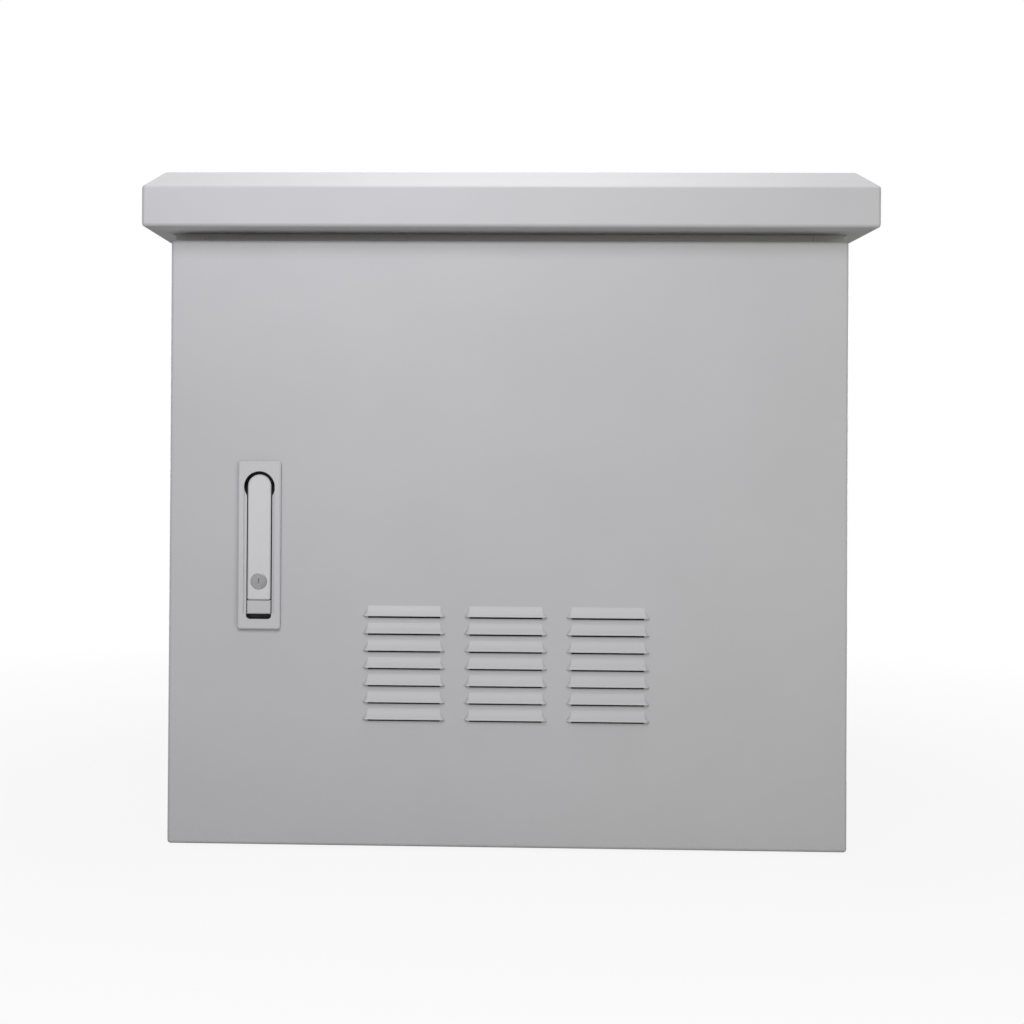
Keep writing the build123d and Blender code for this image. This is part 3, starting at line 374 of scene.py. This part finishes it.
# Moulded rubber gives a dull black that only greys a little at its edges. Its pores are drawn
# about four times as coarse as real ones, so that they show.
black_rubber = rubber_skin("black_moulded_rubber", "#242424", roughness=0.6, pore_mm=0.8)
dress(bright_zinc, "gland_plate")
dress(black_rubber, "cable_grommets")
tip, length = start_of("gland_plate_screws", UP)
gland_screw_tips = spaced(tip, gland_screw_pitch, (3, 2, 1))
gland_screws = grid_piece(
    "gland_plate_socket_screws",
    socket_screw(gland_head_radius, gland_head_height, gland_shank_radius, length, UP, gland_screw_tips),
    bright_zinc,
)
stand_in(gland_screws, "cabinet", "gland_plate_screws")

# Equipment rails: punched and folded zinc-plated angles on brackets that are welded to the sides,
# held by one socket screw at each end.
rail_head_radius, rail_head_height, rail_shank_radius, rail_screw_length = 5.5, 3.5, 3.0, 12.0
levels = ("lower", "upper")
for side in ("left", "right"):
    dress(bright_zinc, f"rack_rail_{side}", *(f"rail_bracket_{side}_{level}" for level in levels))
bracket_lower, bracket_upper = (span(f"rail_bracket_left_{level}")[0] for level in levels)
rail_screw_pitch = (0, 0, bracket_upper[2] - bracket_lower[2])
rail_screw_points = [
    socket_screw(
        rail_head_radius,
        rail_head_height,
        rail_shank_radius,
        rail_screw_length,
        inwards,
        spaced(start_of("rail_screws", inwards)[0], rail_screw_pitch, (1, 1, 2)),
    )
    for inwards in ((1, 0, 0), (-1, 0, 0))
]
rail_screws = grid_piece("rail_socket_screws", np.concatenate(rail_screw_points), bright_zinc)
stand_in(rail_screws, "cabinet", "rail_screws")

# Earth terminal: a brass M8 stud on the base with two nuts and a washer, where the earth wire of
# the cabinet is clamped. The brass is turned and left bare: a warm yellow among the grey plating.
earth_brass = satin_metal("earth_terminal_brass", pale="#C9AE6A", deep="#B89A55", roughness=0.3)
dress(earth_brass, "earth_washer")
earth_foot, length = start_of("earth_stud", UP)
earth_stud = grid_piece(
    "threaded_earth_stud",
    threaded_stud(M8_RADIUS, M8_THREAD, length, UP, [earth_foot]),
    earth_brass,
)
stand_in(earth_stud, "cabinet", "earth_stud")
lower_nut, stack_height = start_of("earth_nuts", UP)
washer_thickness = span("earth_washer")[1][2]
earth_nut_height = (stack_height - washer_thickness) / 2
upper_nut = lower_nut + [0, 0, earth_nut_height + washer_thickness]
earth_nuts = grid_piece(
    "earth_hexagon_nuts",
    hex_nut(M8_FLATS, earth_nut_height, M8_RADIUS + THREAD_PLAY, UP, [lower_nut, upper_nut]),
    earth_brass,
    close_rows=True,
)
stand_in(earth_nuts, "cabinet", "earth_nuts")

# Concealed hinges: plated leaves with rolled knuckles on plain pins, screwed to the doorway frame
# and welded to the door.
OUT_OF_DOORWAY = (0, -1, 0)
hinge_head_radius, hinge_head_height, hinge_shank_radius = 4.0, 2.5, 2.5
hinge_screw_pitch = (0, 0, 73.0)
hinge_parts = ("hinge_leaf_body", "hinge_leaf_door", "hinge_pin")
dress(bright_zinc, *(f"{part}_{level}" for part in hinge_parts for level in levels))
(tip_x, tip_y, _), length = start_of("hinge_screws", OUT_OF_DOORWAY)
leaf_heights = [span(f"hinge_leaf_body_{level}")[0][2] for level in levels]
hinge_screw_tips = np.concatenate(
    [spaced((tip_x, tip_y, leaf_z), hinge_screw_pitch, (1, 1, 2)) for leaf_z in leaf_heights]
)
hinge_screws = grid_piece(
    "hinge_socket_screws",
    socket_screw(
        hinge_head_radius, hinge_head_height, hinge_shank_radius, length, OUT_OF_DOORWAY, hinge_screw_tips
    ),
    bright_zinc,
)
stand_in(hinge_screws, "cabinet", "hinge_screws")

# Door: a folded pan with three columns of pressed louvres and two channels spot-welded to its
# back, sprayed with the same powder as the housing.
dress(grey_powder, "door_panel", "door_stiffener_left", "door_stiffener_right")

# Door seal: a bead of black polyurethane that is foamed straight onto the door in one closed run
# and sets with a domed top and a fine closed skin.
bead_width, bead_corner = 12.0, 8.0


def rounded_run(half_width, half_height, radius, corner_steps, side_steps):
    """Closed run round a rectangle: four arcs of radius R with straight sides between them.
    Gives x, z and the direction of the outward normal at each point."""
    signs = np.array([(1, 1), (-1, 1), (-1, -1), (1, -1)])
    sweep = np.arange(4)[:, None] * np.pi / 2 + np.linspace(0, np.pi / 2, corner_steps)
    share = np.linspace(0, 1, side_steps + 2)[1:-1]

    def with_sides(arcs):
        """Each arc, then the side that leads from its last point to the next arc's first one."""
        last, following = arcs[:, -1:], np.roll(arcs[:, :1], -1, axis=0)
        return np.concatenate([arcs, last + share * (following - last)], axis=1).ravel()

    x = with_sides(signs[:, :1] * (half_width - radius) + radius * np.cos(sweep))
    z = with_sides(signs[:, 1:] * (half_height - radius) + radius * np.sin(sweep))
    normals = np.concatenate([sweep, np.repeat(sweep[:, -1:], side_steps, axis=1)], axis=1)
    return x, z, normals.ravel()


def seal_bead(middle, size, width, corner_radius):
    """Domed bead along the run: across = w/2 cos v, depth = h sin(v)^0.55 for v in 0..pi, with
    slight ripples where the foam was laid."""
    ripple_depth, ripple_step = 0.12, 0.9
    run_half_width, run_half_height = (size[0] - width) / 2, (size[2] - width) / 2
    x, z, normal = rounded_run(
        run_half_width, run_half_height, corner_radius, corner_steps=9, side_steps=40
    )
    v = np.linspace(0, np.pi, 15)
    across = width / 2 * np.cos(v)
    depth = size[1] * np.abs(np.sin(v)) ** 0.55
    ripple = ripple_depth * np.sin(np.arange(len(x)) * ripple_step)[:, None] * np.sin(v)[None] ** 2
    points = np.stack(
        [
            middle[0] + x[:, None] + np.cos(normal)[:, None] * across[None],
            middle[1] - size[1] / 2 + depth[None] - np.abs(ripple),
            middle[2] + z[:, None] + np.sin(normal)[:, None] * across[None],
        ],
        axis=-1,
    )
    return points[None]


# Foamed polyurethane gives the deepest black of the cabinet, quite without shine.
seal_foam = rubber_skin("black_polyurethane_foam", "#1E1E1F", roughness=0.8, pore_mm=1.2)
seal = grid_piece(
    "foamed_door_seal",
    seal_bead(*span("door_gasket"), bead_width, bead_corner),
    seal_foam,
    close_rows=True,
    crease=60,
)
stand_in(seal, "door", "door_gasket")

# Dust filter: a pad of charcoal needled fleece behind the louvres, gripped by a plated frame that
# is held with nuts on four M4 studs welded to the door. The fleece's dark also serves as painted shade in
# the louvre slits.
INTO_DOORWAY = (0, 1, 0)
M4_RADIUS, M4_THREAD, M4_FLATS = 2.0, 0.7, 6.9
filter_stud_pitch = (293.0, 0.0, 108.2)


def filter_fleece(name, pale, deep):
    """Needled fibres: fine noise for the fibres over a coarser matting, matt and soft."""
    # Real fibres are near 0.03 mm thick. They are drawn as tufts of half a millimetre, so that they show.
    tuft_mm, tuft_depth_mm, matting_mm = 0.5, 0.4, 6.0
    material, tree, output = new_material(name)
    place = add_node(tree, "ShaderNodeTexCoord").outputs["Object"]
    tufts = add_node(tree, "ShaderNodeTexNoise", Vector=place, Scale=1 / (tuft_mm * MM), Detail=4.0)
    matting = add_node(tree, "ShaderNodeTexNoise", Vector=place, Scale=1 / (matting_mm * MM), Detail=2.0)
    both = add_node(
        tree,
        "ShaderNodeMath",
        {"operation": "MULTIPLY"},
        i0=tufts.outputs["Fac"],
        i1=matting.outputs["Fac"],
    )
    tone = add_node(tree, "ShaderNodeValToRGB", Fac=both.outputs["Value"])
    for stop, position, shade in zip(tone.color_ramp.elements, (0.12, 0.42), (deep, pale)):
        stop.position = position
        stop.color = linear(shade)
    bump = add_node(
        tree,
        "ShaderNodeBump",
        Height=both.outputs["Value"],
        Strength=0.6,
        Distance=tuft_depth_mm * MM,
    )
    skin = add_node(
        tree,
        "ShaderNodeBsdfPrincipled",
        Base_Color=tone.outputs["Color"],
        Roughness=0.95,
        Normal=bump.outputs["Normal"],
    )
    tree.links.new(skin.outputs["BSDF"], output.inputs["Surface"])
    return material


def fleece_pad(middle, size):
    """Pad as rings s_i times its outline at depths d_i, flat in front and with lumps
    h (sin(ax) sin(bz) - 1) on its back."""
    lump_height, lump_x, lump_z = 0.14, 0.19, 0.23
    thickness = size[1]
    x, z, _ = rounded_run(1.0, 1.0, radius=0.02, corner_steps=5, side_steps=60)
    ring = np.array([0.0, 0.5, 0.9, 1.0, 1.0, 1.0, 0.985, 0.9, 0.7, 0.5, 0.3, 0.1, 0.0])
    depth = thickness * np.array([0, 0, 0, 0, 0.5, 0.85, 0.97, 0.98, 0.98, 0.98, 0.98, 0.98, 0.98])
    px = size[0] / 2 * ring[:, None] * x[None]
    pz = size[2] / 2 * ring[:, None] * z[None]
    on_back = (depth > 0.9 * thickness)[:, None]
    lumps = lump_height * (np.sin(px * lump_x) * np.sin(pz * lump_z) - 1) * on_back
    py = middle[1] - thickness / 2 + depth[:, None] + lumps
    return np.stack([middle[0] + px, py, middle[2] + pz], axis=-1)[None]


# Fleece gives a soft charcoal dark between the louvres, with no shine at all. Its dark also paints the
# shade seen in the louvre slits.
charcoal_fleece_and_slit_shade = filter_fleece("charcoal_filter_fleece_and_slit_shade", pale="#3E3E40", deep="#232325")
pad = grid_piece("filter_fleece_pad", fleece_pad(*span("filter_mat")), charcoal_fleece_and_slit_shade, crease=60)
stand_in(pad, "door", "filter_mat")
dress(bright_zinc, "filter_frame")
base, length = start_of("filter_studs", INTO_DOORWAY)
filter_stud_places = spaced(base, filter_stud_pitch, (2, 1, 2))
filter_studs = grid_piece(
    "threaded_filter_studs",
    threaded_stud(M4_RADIUS, M4_THREAD, length, INTO_DOORWAY, filter_stud_places),
    bright_zinc,
)
stand_in(filter_studs, "door", "filter_studs")
base, height = start_of("filter_nuts", INTO_DOORWAY)
filter_nut_places = spaced(base, filter_stud_pitch, (2, 1, 2))
filter_nuts = grid_piece(
    "filter_hexagon_nuts",
    hex_nut(M4_FLATS, height, M4_RADIUS + THREAD_PLAY, INTO_DOORWAY, filter_nut_places),
    bright_zinc,
    close_rows=True,
)
stand_in(filter_nuts, "door", "filter_nuts")

# Swing-handle lock: a die-cast plate with a dished channel on a rubber seal, clamped through the
# door by a plated bracket and two screws. The lever lies in the channel on its pin, and the channel is
# painted near-black as shade.
channel_front = -205.2
lock_head_radius, lock_head_height, lock_shank_radius = 3.5, 2.4, 2.0
lock_screw_pitch = (0.0, 0.0, 141.9)
# Powder on the smooth casting is paler and a little glossier than on the sheet. In the channel
# round the lever the colour turns near-black: painted shade that draws a dark line round it.
cast_powder = powder_coat("die_cast_grey_powder_coat", pale="#D7D7D8", deep="#D4D4D5", roughness=0.38)
dress(cast_powder, "lever")
plate_powder = powder_coat(
    "die_cast_powder_coat_painted_channel_shade",
    pale="#CCCCCD",
    deep="#C9C9CA",
    roughness=0.38,
    painted_shade_behind_mm=channel_front,
)
dress(plate_powder, "handle_plate")
dress(black_rubber, "handle_seal")
dress(bright_zinc, "lock_bracket")
# Black oxide leaves the pin's turned steel nearly black, with a dim metal sheen. Its dark also serves as
# painted shade, so the pin sinks into the channel's gap line.
black_oxide_and_painted_shade = satin_metal("black_oxidised_steel_and_painted_shade", pale="#1C1C1D", deep="#141415", roughness=0.45)
dress(black_oxide_and_painted_shade, "lever_pin")
tip, length = start_of("lock_screws", INTO_DOORWAY)
lock_screw_tips = spaced(tip, lock_screw_pitch, (1, 1, 2))
lock_screws = grid_piece(
    "lock_socket_screws",
    socket_screw(
        lock_head_radius, lock_head_height, lock_shank_radius, length, INTO_DOORWAY, lock_screw_tips
    ),
    bright_zinc,
)
stand_in(lock_screws, "door", "lock_screws")

# Lock barrel and release button: a nickel-plated turned plug in the lever and a block of light-grey
# polyamide below it that frees the lever when it is pushed in.
# Satin nickel is a duller, warmer metal than the zinc. The moulded button is the matt one of the greys.
nickel = satin_metal("satin_nickel_plug", pale="#B4B4B4", deep="#A8A8A9", roughness=0.34)
dress(nickel, "lock_barrel")
button_grey = powder_coat("light_grey_polyamide", pale="#C8C8C9", deep="#C4C4C5", roughness=0.5)
dress(button_grey, "push_button")

# Latch: the turned spindle carries a flat plated cam that reaches behind the doorway flange. A
# hexagon bolt in the spindle's end holds the cam.
cam_bolt_flats, cam_bolt_head_height, cam_bolt_shank_radius = 12.1, 3.0, 2.5


def hexagon_bolt(flats, head_height, shank_radius, length, axis, tips):
    """Bolt from tip to crown: r = min(turned ring, hexagon), the crown turned down at its edge.
    The axis points from the tip to the head."""
    tip_bevel = 0.4
    turn = np.linspace(0, 2 * np.pi, 72, endpoint=False)[None]
    under_head, inscribed = length - head_height, flats / 2
    turned = np.array(
        [
            (0, 0),
            (0, 0.8 * shank_radius),
            (tip_bevel, shank_radius),
            (under_head, shank_radius),
            (under_head, 1.16 * inscribed),
            (under_head + 0.8 * head_height, 1.16 * inscribed),
            (length, 0.96 * inscribed),
            (length, 0),
        ]
    )
    radii = np.minimum(turned[:, 1:], hexagon(turn, flats))
    return place_round(turned[:, :1] + 0 * turn, radii, axis, tips)


dress(bright_zinc, "latch_spindle", "latch_cam")
tip, length = start_of("cam_bolt", INTO_DOORWAY)
cam_bolt = grid_piece(
    "cam_hexagon_bolt",
    hexagon_bolt(cam_bolt_flats, cam_bolt_head_height, cam_bolt_shank_radius, length, INTO_DOORWAY, [tip]),
    bright_zinc,
)
stand_in(cam_bolt, "latch", "cam_bolt")

# Studio floor: a wide pale sheet of matt board that carries the cabinet and its soft shadow.
# It turns into the white surround a metre from the cabinet, so that no horizon is seen.
floor_half, floor_hex = 15.0, "#BCBCBA"
shadow_start, shadow_end = 0.45, 1.4
white_share_near = 0.9
floor_mesh = bpy.data.meshes.new("studio_floor")
floor_corners = [(x * floor_half, y * floor_half, 0) for x, y in ((-1, -1), (1, -1), (1, 1), (-1, 1))]
floor_mesh.from_pydata(floor_corners, [], [(0, 1, 2, 3)])
floor = bpy.data.objects.new("studio_floor", floor_mesh)
bpy.context.scene.collection.objects.link(floor)
floor_board, tree, output = new_material("pale_matt_board")
ray = add_node(tree, "ShaderNodeLightPath")
place = add_node(tree, "ShaderNodeTexCoord").outputs["Object"]
radius = add_node(tree, "ShaderNodeVectorMath", {"operation": "LENGTH"}, i0=place)
fade = add_node(
    tree,
    "ShaderNodeMapRange",
    Value=radius.outputs["Value"],
    From_Min=shadow_start,
    From_Max=shadow_end,
    To_Min=white_share_near,
    To_Max=1.0,
)
seen = add_node(
    tree,
    "ShaderNodeMath",
    {"operation": "MULTIPLY"},
    i0=ray.outputs["Is Camera Ray"],
    i1=fade.outputs["Result"],
)
matt = add_node(tree, "ShaderNodeBsdfDiffuse", Color=linear(floor_hex))
glow = add_node(tree, "ShaderNodeEmission", Color=(1, 1, 1, 1), Strength=1.0)
blend = add_node(
    tree,
    "ShaderNodeMixShader",
    i0=seen.outputs["Value"],
    i1=matt.outputs["BSDF"],
    i2=glow.outputs["Emission"],
)
tree.links.new(blend.outputs["Shader"], output.inputs["Surface"])
floor_mesh.materials.append(floor_board)

# Surround and lamps: a white room that fills the shade a little, a soft panel before the door and
# a little above the hood, one over the hood, a low one on the right and two behind the sides.
fill_strength = 0.2
world = bpy.data.worlds.new("white_room")
bpy.context.scene.world = world
world.use_nodes = True
tree = world.node_tree
tree.nodes.clear()
ray = add_node(tree, "ShaderNodeLightPath")
direct = add_node(
    tree,
    "ShaderNodeMath",
    {"operation": "MAXIMUM"},
    i0=ray.outputs["Is Camera Ray"],
    i1=ray.outputs["Is Transmission Ray"],
)
shown = add_node(
    tree,
    "ShaderNodeMath",
    {"operation": "MAXIMUM"},
    i0=direct.outputs["Value"],
    i1=ray.outputs["Is Glossy Ray"],
)
level = add_node(tree, "ShaderNodeMapRange", Value=shown.outputs["Value"], To_Min=fill_strength, To_Max=1.0)
sky = add_node(tree, "ShaderNodeBackground", Color=(1, 1, 1, 1), Strength=level.outputs["Result"])
add_node(tree, "ShaderNodeOutputWorld", Surface=sky.outputs["Background"])
# Each panel's place and aim in metres, its width in metres, its power in watts and its colour.
panels = {
    "front_panel": ((-0.2, -1.3, 0.92), (-0.05, -0.2, 0.45), 0.7, 9.1, "#F6F6FF"),
    "hood_panel": ((0.0, -0.2, 1.8), (0.0, -0.2, 0.6), 0.6, 9.2, "#FFFFFF"),
    "right_panel": ((1.3, -2.2, 0.4), (0.1, -0.2, 0.35), 1.0, 9.4, "#FFFDEA"),
    "left_rear_panel": ((-2.0, 1.2, 0.28), (0.0, 0.0, 0.3), 0.55, 16.0, "#FFFFFF"),
    "right_rear_panel": ((2.0, 1.2, 0.28), (0.0, 0.0, 0.3), 0.55, 16.0, "#FFFFFF"),
}
for name, (place, aim, width, watts, colour) in panels.items():
    lamp = bpy.data.lights.new(name, "AREA")
    lamp.shape = "SQUARE"
    lamp.size = width
    lamp.energy = watts
    lamp.color = linear(colour)[:3]
    panel = bpy.data.objects.new(name, lamp)
    panel.location = place
    panel.rotation_euler = (Vector(aim) - Vector(place)).to_track_quat("-Z", "Y").to_euler()
    bpy.context.scene.collection.objects.link(panel)

# Camera: a nearly level view of the door from 1.5 m, with the small shift of the cropped photograph.
image_pixels, focal_pixels = 1024, 1693.0
centre_pixel = (424.4, 421.0)
camera_place = (-0.0221, -1.704, 0.3667)
yaw, pitch, roll = (math.radians(degrees) for degrees in (1.948, 0.505, 0.351))
camera_data = bpy.data.cameras.new("photo_camera")
camera_data.sensor_width = 36.0
camera_data.lens = focal_pixels / image_pixels * camera_data.sensor_width
camera_data.shift_x = (image_pixels / 2 - centre_pixel[0]) / image_pixels
camera_data.shift_y = (centre_pixel[1] - image_pixels / 2) / image_pixels
camera = bpy.data.objects.new("photo_camera", camera_data)
heading = Matrix.Rotation(yaw, 4, "Z")
tilt = Matrix.Rotation(math.pi / 2 + pitch, 4, "X")
camera.matrix_world = Matrix.Translation(camera_place) @ heading @ tilt @ Matrix.Rotation(roll, 4, "Z")
bpy.context.scene.collection.objects.link(camera)
bpy.context.scene.camera = camera
bpy.context.scene.view_settings.view_transform = "Standard"
